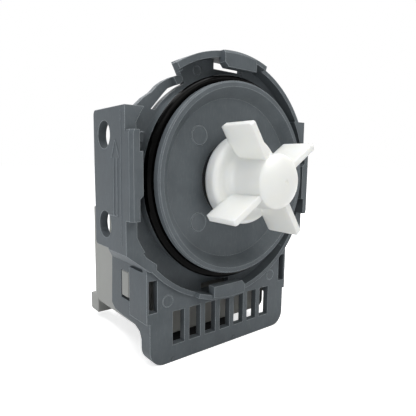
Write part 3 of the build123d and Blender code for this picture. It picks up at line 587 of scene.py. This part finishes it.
# %% [markdown]
# The pieces that follow are surfaces worked out as whole arrays of points. One helper turns such
# an array into a closed mesh: rows and columns of points become quads, the columns always close
# on themselves, coinciding points at a pole are joined, and the faces are turned outwards.

# %% A surface from an array of points
MERGE_M = 1e-7


def full_turn(samples):
    """So many angles round a circle, from zero on."""
    return np.linspace(0, 2 * np.pi, samples, endpoint=False)


def half_step_turn(samples):
    """So many angles round a circle, from half a step on, so that none lies on an axis."""
    return (np.arange(samples) + 0.5) * 2 * np.pi / samples


def surface(name, points_mm, slot_name, wrap_rows=False, sharp_degrees=40.0):
    """A piece from points of shape (copies, rows, columns, 3). Quad (i, j) joins the points
    (i, j), (i, j + 1), (i + 1, j + 1) and (i + 1, j), and the last column joins the first."""
    copies, rows, columns = points_mm.shape[:3]
    i = np.arange(rows if wrap_rows else rows - 1)[None, :, None]
    j = np.arange(columns)[None, None, :]
    start = np.arange(copies)[:, None, None] * rows * columns
    below, beside = (i + 1) % rows, (j + 1) % columns
    corners = [i * columns + j, i * columns + beside, below * columns + beside, below * columns + j]
    quads = np.stack(np.broadcast_arrays(*[start + c for c in corners]), axis=-1).reshape(-1, 4)
    mesh = bpy.data.meshes.new(name)
    mesh.from_pydata((points_mm.reshape(-1, 3) * MM).tolist(), [], quads.tolist())
    work = bmesh.new()
    work.from_mesh(mesh)
    bmesh.ops.remove_doubles(work, verts=work.verts, dist=MERGE_M)
    bmesh.ops.recalc_face_normals(work, faces=work.faces)
    work.to_mesh(mesh)
    work.free()
    mesh.shade_smooth()
    mesh.set_sharp_from_angle(angle=math.radians(sharp_degrees))
    mesh.materials.append(finishes[slot_name])
    piece = linked(name, mesh)
    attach(piece, "motor_body")
    print(name, "faces", len(mesh.polygons))
    return piece


def mesh_points(mesh):
    """The points of a mesh, in metres, as an array of shape (points, 3)."""
    points = np.empty(len(mesh.vertices) * 3, np.float32)
    mesh.vertices.foreach_get("co", points)
    return points.reshape(-1, 3)


print("points closer than mm", MERGE_M / MM, "are joined")

# %% [markdown]
# Through the bracket's two holes the photograph shows a strip of the background, which means that
# the plate is 2.8 mm thick round them, 0.9 mm less than the solid. So the front moulding is shown
# by a copy of its mesh in which the inner face of the plate's ribs is moved outwards. Only the
# points of that one plane move, along X, so every other face keeps its place and its normals.

# %% Front moulding with thinner ribs on the bracket
RIB_X, THIN_RIB_X = -36.6, -37.5
RIB_FROM_Y = 12.4
ON_PLANE_MM = 0.02
moulding_mesh = nodes["front_housing"].data.copy()
points = mesh_points(moulding_mesh)
on_ribs = (np.abs(points[:, 0] / MM - RIB_X) < ON_PLANE_MM) & (points[:, 1] / MM > RIB_FROM_Y)
points[on_ribs, 0] = THIN_RIB_X * MM
moulding_mesh.vertices.foreach_set("co", points.ravel())
moulding_mesh.update()
moulding = linked("front_moulding", moulding_mesh)
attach(moulding, "motor_body")
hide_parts("front_housing")
print("rib points moved", int(on_ribs.sum()))

# %% [markdown]
# On the real impeller the disc meets the barrel in a small curve, the vanes stand straight on
# both, and the nose is domed. The solid has a wide curve there and a flat nose. So the impeller is
# shown by a copy of its mesh, changed in three steps. First the wide curve is drawn in to the
# small one. A point keeps its share of the way from the barrel to the disc, and its share of the
# gap between two vanes, so the vanes' flat sides stay flat.

# %% The impeller's root curve
ROOT_R, ROOT_Y = 9.1, -9.4  # where the curve starts on the barrel
DISC_R, DISC_Y = 13.1, -4.5  # where it ends on the disc
WIDE_CURVE, SMALL_CURVE = 6.5, 3.0
VANE_ANGLE = math.radians(33.5)
VANE_HALF = 1.0
HALF_GAP = np.pi / 4  # from the middle of a vane to the middle of a gap
ON_ARC_MM, ON_END_MM = 0.03, 0.02


def wide_centre():
    """Centre of the arc through both ends with radius WIDE_CURVE, on the side of the water: the
    middle of the chord plus (R^2 - (chord / 2)^2)^0.5 square to it."""
    start, end = np.array([ROOT_R, ROOT_Y]), np.array([DISC_R, DISC_Y])
    chord = end - start
    length = np.linalg.norm(chord)
    square = np.array([chord[1], -chord[0]]) / length
    return (start + end) / 2 + square * math.sqrt(WIDE_CURVE**2 - (length / 2) ** 2)


def small_profile(share):
    """Radius, y and normal at a share of the way along the barrel, a quarter circle and the disc.
    Each length is walked in turn, and the normal turns with the quarter circle."""
    straight = DISC_Y - SMALL_CURVE - ROOT_Y
    quarter = SMALL_CURVE * np.pi / 2
    flat = DISC_R - ROOT_R - SMALL_CURVE
    way = share * (straight + quarter + flat)
    turn = np.clip((way - straight) / SMALL_CURVE, 0, np.pi / 2)
    r = ROOT_R + SMALL_CURVE * (1 - np.cos(turn)) + np.clip(way - straight - quarter, 0, None)
    y = ROOT_Y + np.clip(way, 0, straight) + SMALL_CURVE * np.sin(turn)
    return r, y, np.cos(turn), -np.sin(turn)


def kept_in_gap(bearing, old_r, new_r):
    """The new bearing of a point that goes from old_r to new_r. Seen from the middle of a vane,
    the gap reaches from asin(VANE_HALF / r) to HALF_GAP, and the point keeps its share of it."""
    from_vane = (bearing - VANE_ANGLE + HALF_GAP) % (2 * HALF_GAP) - HALF_GAP
    old_side = np.arcsin(VANE_HALF / np.maximum(old_r, 2 * VANE_HALF))
    new_side = np.arcsin(VANE_HALF / new_r)
    gap_share = (HALF_GAP - np.abs(from_vane)) / (HALF_GAP - old_side)
    return bearing - from_vane + np.sign(from_vane) * (HALF_GAP - gap_share * (HALF_GAP - new_side))


def signed(angle):
    """The same angle between minus pi and pi."""
    return (angle + np.pi) % (2 * np.pi) - np.pi


def polar(along_r, along_y, bearing):
    """Points or vectors from their part along the radius, their part along Y and their bearing."""
    return np.stack([along_r * np.cos(bearing), along_y, along_r * np.sin(bearing)], axis=-1)


wheel_mesh = nodes["impeller"].data.copy()
points = mesh_points(wheel_mesh) / MM
r, y = np.hypot(points[:, 0], points[:, 2]), points[:, 1]
bearing = np.arctan2(points[:, 2], points[:, 0])
centre = wide_centre()
off_r, off_y = r - centre[0], y - centre[1]
on_curve = np.abs(np.hypot(off_r, off_y) - WIDE_CURVE) < ON_ARC_MM
on_curve &= (r > ROOT_R - ON_END_MM) & (r < DISC_R + ON_END_MM)
on_curve &= (y > ROOT_Y - ON_END_MM) & (y < DISC_Y + ON_END_MM)
start_angle = math.atan2(ROOT_Y - centre[1], ROOT_R - centre[0])
end_angle = math.atan2(DISC_Y - centre[1], DISC_R - centre[0])
way = signed(np.arctan2(off_y, off_r) - start_angle) / signed(end_angle - start_angle)
new_r, new_y, normal_r, normal_y = small_profile(np.clip(way, 0, 1))
new_bearing = kept_in_gap(bearing, r, new_r)
moved = np.where(on_curve[:, None], polar(new_r, new_y, new_bearing), points)
print("impeller points drawn in", int(on_curve.sum()))

# %% [markdown]
# The second step domes the nose. Each of its points goes back along the axis by the difference
# between the height of the flat nose and the height of the dome at its radius.

# %% The impeller's nose
NOSE_R, NOSE_TIP_Y, NOSE_ROUND = 8.6, -20.4, 3.6
DOME_POWER = 2.0
SHORT_OF_RIM = 1e-4  # the slope has no end at the rim itself
CLEAR_OF_BARREL_MM = 0.01


def nose_height(r):
    """Height of the solid's nose over the plane where its rounding starts, and how it falls per
    millimetre: flat up to NOSE_R - NOSE_ROUND, then a quarter circle."""
    over = np.clip(r - (NOSE_R - NOSE_ROUND), 0, NOSE_ROUND - SHORT_OF_RIM)
    height = np.sqrt(NOSE_ROUND**2 - over**2)
    return height, over / height


def dome_height(r):
    """The same for the dome: NOSE_ROUND (1 - (r / NOSE_R)^p)^(1 / p)."""
    share = np.clip(r / NOSE_R, 0, 1 - SHORT_OF_RIM)
    rest = 1 - share**DOME_POWER
    height = NOSE_ROUND * rest ** (1 / DOME_POWER)
    return height, NOSE_ROUND / NOSE_R * share ** (DOME_POWER - 1) * rest ** (1 / DOME_POWER - 1)


on_nose = (y < NOSE_TIP_Y + NOSE_ROUND - CLEAR_OF_BARREL_MM) & (r < NOSE_R)
old_height, old_fall = nose_height(r)
new_height, new_fall = dome_height(r)
moved[:, 1] += np.where(on_nose, old_height - new_height, 0)
print("points on the nose", int(on_nose.sum()))

# %% [markdown]
# The third step lets the shading follow. A corner of a face on the curve or on the nose takes the
# normal of the new surface at its point. A point at a vane's root also has corners on the vane,
# and those keep their normal: they are told apart by how well their own normal agrees with the
# old surface.

# %% The impeller's normals
AGREES_ON_CURVE, AGREES_ON_NOSE = 0.9, 0.97  # least dot products


def nose_normal(fall, bearing):
    """Unit normal of a nose that falls by so much per millimetre: (fall, -1) over its length."""
    normal = polar(fall, -np.ones_like(fall), bearing)
    return normal / np.linalg.norm(normal, axis=-1, keepdims=True)


normals = np.empty(len(wheel_mesh.loops) * 3, np.float32)
wheel_mesh.corner_normals.foreach_get("vector", normals)
normals = normals.reshape(-1, 3)
point_of = np.empty(len(wheel_mesh.loops), np.int32)
wheel_mesh.loops.foreach_get("vertex_index", point_of)
curve_was = polar(-off_r, -off_y, bearing) / WIDE_CURVE
curve_is = polar(normal_r, normal_y, new_bearing)
nose_was, nose_is = nose_normal(old_fall, bearing), nose_normal(new_fall, bearing)
changes = [
    (on_curve, curve_was, curve_is, AGREES_ON_CURVE),
    (on_nose, nose_was, nose_is, AGREES_ON_NOSE),
]
for region, was, now, least in changes:
    turns = region[point_of] & ((was[point_of] * normals).sum(axis=-1) > least)
    normals = np.where(turns[:, None], now[point_of], normals)
    print("corner normals turned", int(turns.sum()))
wheel_mesh.vertices.foreach_set("co", (moved * MM).astype(np.float32).ravel())
wheel_mesh.update()
wheel_mesh.normals_split_custom_set(normals.tolist())
wheel = linked("impeller_moulding", wheel_mesh)
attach(wheel, "impeller")
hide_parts("impeller")

# %% [markdown]
# The sealing ring is a torus of rubber. Its mould opens in the plane of the ring, which leaves a
# hair-thin line of flash round the outside and the inside. The samples round the section are
# drawn together near those two lines, because nothing else on the ring needs them.

# %% Sealing ring
FLASH_MM = 0.035
FLASH_HALF_ANGLE = 0.03
RING_SAMPLES, SECTION_SAMPLES = 360, 72
DRAWN_TOGETHER = 0.46
low, high = (np.array(c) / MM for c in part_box("o_ring"))
section_r = (high[1] - low[1]) / 2
ring_y = (high[1] + low[1]) / 2
ring_r = high[0] - section_r
turn = full_turn(RING_SAMPLES)[:, None]
around = full_turn(SECTION_SAMPLES)[None, :]
around = around - DRAWN_TOGETHER * np.sin(2 * around)
flash = FLASH_MM * np.exp(-((np.sin(around) / FLASH_HALF_ANGLE) ** 2))
reach = ring_r + (section_r + flash) * np.cos(around)
ring_points = polar(reach, ring_y + (section_r + flash) * np.sin(around) + 0 * turn, turn)
ring = surface("sealing_ring", ring_points[None], "o_ring_rubber", wrap_rows=True)
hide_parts("o_ring")

# %% [markdown]
# The screws cut their own thread into the plastic. Each is a profile turned round its axis: a
# tapered tip, a shank whose radius swings with the thread, and a pan head. A cross recess is
# pressed into the head, so there the surface sinks where a point lies inside either arm.

# %% How a screw is made
PITCH_MM = 1.1
THREAD_MM = 0.28
ROWS_PER_PITCH = 8
SCREW_SAMPLES, HEAD_ROWS = 96, 44
TIP_MM, TIP_SHARE = 1.6, 0.2  # the tip's length, and how much of the shank is left at its end
HEAD_MM = 2.0
SIDE_SHARE, RECESS_SHARE = 0.45, 0.75  # shares of the head's height
ARM_HALF, ARM_REACH = 0.15, 0.58  # shares of the head's radius
ARM_SLOPE_MM, END_SLOPE_MM = 0.15, 0.3


def screws(places, seat, shank_r, head_r, length, turns):
    """Points of pan-head screws along Y. The shank's radius is shank_r less THREAD_MM times how
    far 2 |fraction(y / pitch + angle / turn) - 1/2| is from one. The head's height is
    side + (HEAD_MM - side) (1 - (r / head_r)^4)^0.5. The recess sinks it by up to RECESS_SHARE of
    HEAD_MM, in proportion to how far a point is inside an arm, across it and along it."""
    angle = full_turn(SCREW_SAMPLES)[None, :]
    shank_y = np.arange(-length, 0.0, PITCH_MM / ROWS_PER_PITCH)[:, None]
    crest = 2 * np.abs((shank_y / PITCH_MM + angle / (2 * np.pi)) % 1 - 0.5)
    taper = np.minimum(1.0, TIP_SHARE + (shank_y + length) / TIP_MM)
    shank = taper * (shank_r - THREAD_MM * (1 - crest))
    side = SIDE_SHARE * HEAD_MM
    sweep = np.linspace(np.pi / 2, 0, HEAD_ROWS)[:, None]
    top_r = head_r * np.sin(sweep) + 0 * angle
    top_y = side + (HEAD_MM - side) * np.sqrt(np.maximum(1 - (top_r / head_r) ** 4, 0))
    across = np.minimum(np.abs(np.cos(angle)), np.abs(np.sin(angle))) * top_r
    along = np.maximum(np.abs(np.cos(angle)), np.abs(np.sin(angle))) * top_r
    inside = np.clip((ARM_HALF * head_r - across) / ARM_SLOPE_MM, 0, 1)
    inside = inside * np.clip((ARM_REACH * head_r - along) / END_SLOPE_MM, 0, 1)
    top_y = top_y - RECESS_SHARE * HEAD_MM * inside
    flat = np.ones_like(angle)
    r = np.concatenate([0 * flat, shank, shank_r * flat, head_r * flat, top_r])
    y = np.concatenate([-length * flat, shank_y * flat, 0 * flat, 0 * flat, top_y])
    pieces = []
    for (x, z), spin in zip(places, turns):
        grid = [x + r * np.cos(angle + spin), seat + y, z + r * np.sin(angle + spin)]
        pieces.append(np.stack(grid, axis=-1))
    return np.stack(pieces)


print("a screw's thread climbs in mm by", PITCH_MM, "a turn")

# %% [markdown]
# Two screws hold the stator housing to the front moulding, and three hold the rear cover. Each
# stands with its head where the head of its solid is, and is turned by a chance amount.

# %% The screws in their places
HOUSING_SCREWS = [(-27.497, 11.996), (27.497, 11.996)]
COVER_SCREWS = [(-23.0, -48.0), (23.0, -48.0), (0.0, 22.6)]
housing_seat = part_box("housing_screws")[1][1] / MM - HEAD_MM
cover_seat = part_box("cover_screws")[1][1] / MM - HEAD_MM
pair = screws(HOUSING_SCREWS, housing_seat, shank_r=1.3, head_r=3.2, length=5.4, turns=(0.3, 1.1))
front_screws = surface("housing_screw_pair", pair, "screw_steel")
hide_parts("housing_screws")
trio = screws(COVER_SCREWS, cover_seat, shank_r=1.05, head_r=2.4, length=9.0, turns=(0.2, 0.9, 0.5))
back_screws = surface("cover_screw_trio", trio, "screw_steel")
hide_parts("cover_screws")

# %% [markdown]
# Each coil is wound round its bobbin from enamelled wire. The real wire is about 0.25 mm thick,
# and the turns are drawn 0.71 mm apart so that they can be seen when the housing is taken off.
# The outside is ribbed: every rib is half a wire, and it climbs by one pitch in each turn.

# %% Coils
BUILD_MM = 6.0
OUTER_CORNER_MM, INNER_CORNER_MM = 4.0, 0.2
WIRE_COUNT = 20
RIB_SAMPLES = 7
LOOP_SAMPLES = 64
RIB_SHARE = 0.9  # how much of a wire's half thickness shows


def rounded_loop(half_x, half_y, corner, angle):
    """A rounded rectangle: the centre of the corner that the angle points to, plus the corner
    radius along the angle. Each straight side is one long step between two corners."""
    along_x = np.sign(np.cos(angle)) * (half_x - corner) + corner * np.cos(angle)
    along_y = np.sign(np.sin(angle)) * (half_y - corner) + corner * np.sin(angle)
    return np.stack([along_x, along_y], axis=-1)


def wound_coil(low, high):
    """Points of a coil between two corners of its box. A point lies between the inner loop and the
    outer loop, and the ribs pull the outer one in by r - (r^2 - h^2)^0.5, with r half a pitch
    and h the height above the middle of the nearest wire."""
    centre, half = (low + high) / 2, (high - low) / 2
    angle = half_step_turn(LOOP_SAMPLES)
    outer = rounded_loop(half[0], half[1], OUTER_CORNER_MM, angle)
    inner = rounded_loop(half[0] - BUILD_MM, half[1] - BUILD_MM, INNER_CORNER_MM, angle)
    steps = np.linalg.norm(np.roll(outer, -1, axis=0) - outer, axis=1)
    climb = np.concatenate([[0], np.cumsum(steps)[:-1]]) / steps.sum()
    pitch = (high[2] - low[2]) / WIRE_COUNT
    z = np.linspace(low[2], high[2], WIRE_COUNT * RIB_SAMPLES + 1)[:, None]
    h = (((z - low[2]) / pitch - climb[None, :]) % 1 - 0.5) * pitch
    sunk = RIB_SHARE * (pitch / 2 - np.sqrt(np.maximum((pitch / 2) ** 2 - h**2, 0)))
    share = 1 - sunk / BUILD_MM
    share = np.concatenate([0 * share[:1], share, 0 * share[:1]])[..., None]
    z = np.concatenate([z[:1], z, z[-1:]]) + 0 * angle[None, :]
    plan = inner[None] * (1 - share) + outer[None] * share
    return np.stack([centre[0] + plan[..., 0], centre[1] + plan[..., 1], z], axis=-1)


for side in ("left", "right"):
    low, high = (np.array(c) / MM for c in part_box("coil_" + side))
    winding = surface("winding_" + side, wound_coil(low, high)[None], "coil_copper", wrap_rows=True)
    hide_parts("coil_" + side)

# %% [markdown]
# The mould leaves its traces. Ejector pins push the part out and leave round witness marks on the
# cup floor, the flange and the apron, and two small gates are trimmed off at the apron's lower
# edge. They are a few tenths of a millimetre high at most, so they are pieces of their own: each
# is a closed disc whose height follows its radius.

# %% Ejector and gate marks
SUNK_MM = 0.15
ROWS_FROM, LIP_ROWS = 0.6, 24  # the rows start at this share of the radius
MARK_SAMPLES, GATE_SAMPLES = 72, 24


def discs(centres, radius, plate, lip, lip_width, columns=MARK_SAMPLES):
    """Discs that face the front. The height is plate in the middle, plus lip times
    exp(-((r - radius) / lip_width)^2), and the rim goes down into the wall behind."""
    angle = full_turn(columns)[None, :]
    rows = np.linspace(ROWS_FROM * radius, radius + 2 * lip_width, LIP_ROWS)
    r = np.concatenate([[0.0], rows])[:, None]
    rise = plate * (r < radius) + lip * np.exp(-(((r - radius) / lip_width) ** 2))
    r = np.concatenate([r, r[-1:], 0 * r[:1]])
    rise = np.concatenate([rise, [[-SUNK_MM]], [[-SUNK_MM]]])
    pieces = []
    for x, y, z in centres:
        grid = [x + r * np.cos(angle), y - rise + 0 * angle, z + r * np.sin(angle)]
        pieces.append(np.stack(grid, axis=-1))
    return np.stack(pieces)


CUP_FLOOR_Y, FLANGE_Y, APRON_Y = 3.9, 10.0, 6.85
CUP_MARKS = [(-14.8, CUP_FLOOR_Y, 14.2), (-14.9, CUP_FLOOR_Y, -14.0)]
cups = discs(CUP_MARKS, radius=3.0, plate=0.1, lip=0.22, lip_width=0.16)
surface("cup_marks", cups, "housing_grey")
APRON_MARKS = [(-24.9, APRON_Y, -39.7), (23.8, APRON_Y, -39.3)]
aprons = discs(APRON_MARKS, radius=1.9, plate=0.05, lip=0.12, lip_width=0.14)
surface("apron_marks", aprons, "housing_grey")
FLANGE_MARKS = [(-11.4, FLANGE_Y, 35.9), (-32.3, FLANGE_Y, 13.2)]
flanges = discs(FLANGE_MARKS, radius=1.5, plate=0.06, lip=0.14, lip_width=0.14)
surface("flange_marks", flanges, "housing_grey")
GATE_MARKS = [(-22.9, APRON_Y, -60.3), (4.4, APRON_Y, -60.3)]
gates = discs(GATE_MARKS, radius=0.45, plate=0.12, lip=0.0, lip_width=0.1, columns=GATE_SAMPLES)
surface("gate_marks", gates, "housing_grey")

# %% [markdown]
# On the bracket's outer face the mould has an arrow that shows which way the pump is turned to
# unlock it: a long narrow outline with an open head. A fine raised line runs along the bracket's
# front edge, where two halves of the mould meet. Each stroke is a low ridge with a flat top and
# round ends, worked out in polar form round the two ends of the stroke, so its long sides are
# single quads.

# %% Bracket arrow and parting line
BRACKET_X = -40.3
STROKE_SAMPLES = 32
STROKE_SHARP_DEGREES = 25.0
ARROW_HEIGHT_MM, ARROW_HALF_MM = 0.22, 0.26
ARROW_STROKES = [
    ((11.8, 12.0), (9.3, 6.9)),
    ((11.8, 12.0), (14.3, 6.9)),
    ((10.5, 6.6), (10.8, -10.8)),
    ((12.8, 6.6), (13.1, -10.8)),
    ((15.6, -11.0), (10.8, -10.8)),
]
LINE_HEIGHT_MM, LINE_HALF_MM = 0.14, 0.16
LINE_STROKES = [((8.0, 20.6), (8.4, -19.6))]


def ridge(start, end, height, half_width):
    """A stroke on the plane of the bracket. A point is the nearer end of the stroke plus a share of
    the half width along its angle. The height is full up to half of the half width, and falls
    straight to the plane at its edge."""
    start, end = np.array(start), np.array(end)
    heading = math.atan2(end[1] - start[1], end[0] - start[0])
    angle = half_step_turn(STROKE_SAMPLES)
    share = np.array([0.0, 0.5, 1.0, 1.0, 0.0])[:, None]
    rise = np.array([1.0, 1.0, 0.0, -0.5, -0.5])[:, None] * height
    ends = np.where(np.cos(angle)[:, None] > 0, end, start)
    out = np.stack([np.cos(angle + heading), np.sin(angle + heading)], axis=-1)
    plan = ends[None] + share[..., None] * half_width * out[None]
    return np.stack([BRACKET_X - rise + 0 * angle, plan[..., 0], plan[..., 1]], axis=-1)


STROKES = [
    ("bracket_arrow", ARROW_STROKES, ARROW_HEIGHT_MM, ARROW_HALF_MM),
    ("bracket_line", LINE_STROKES, LINE_HEIGHT_MM, LINE_HALF_MM),
]
for name, strokes, height, half_width in STROKES:
    ridges = np.stack([ridge(*stroke, height, half_width) for stroke in strokes])
    surface(name, ridges, "housing_grey", sharp_degrees=STROKE_SHARP_DEGREES)
